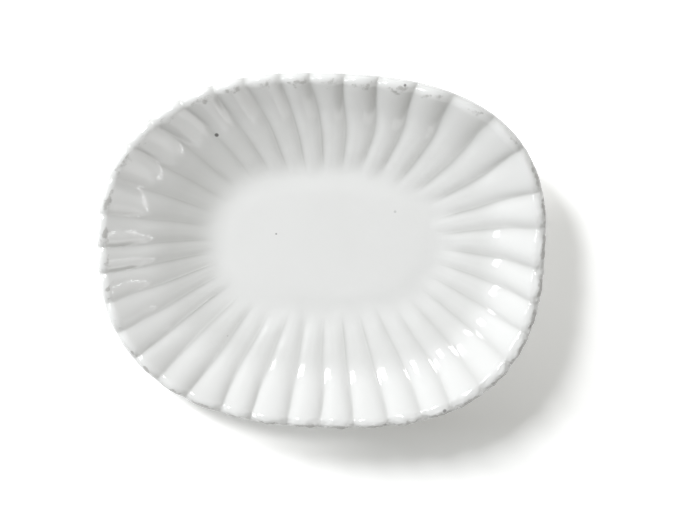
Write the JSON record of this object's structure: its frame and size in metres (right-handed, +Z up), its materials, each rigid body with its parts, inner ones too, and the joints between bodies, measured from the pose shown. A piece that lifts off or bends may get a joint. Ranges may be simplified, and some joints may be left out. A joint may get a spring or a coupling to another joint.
{
  "type": "fluted plate",
  "caption": "Oblong white glazed plate with a flat well, a wall pressed into rounded flutes and a bare clay foot ring, for serving food or holding small things.",
  "frame": {"origin": "on the surface that the plate stands on, under the middle of its outline", "axes": "+X along the plate's length, +Y across it, +Z up out of the well"},
  "size_m": [0.2, 0.162, 0.035],
  "materials": {
    "clay": "bare fired clay, dark grey-brown, dry and finely grained",
    "slip": "fired slip, matt",
    "glaze": "glossy opaque white glaze, thin and grey along the lip, with a few dark pinholes"
  },
  "bodies": {
    "root": {"clay_body": "clay", "foot_ring": "clay", "luting_slip": "slip", "face_glaze": "glaze", "back_glaze": "glaze", "recess_glaze": "glaze"}
  },
  "joints": []
}
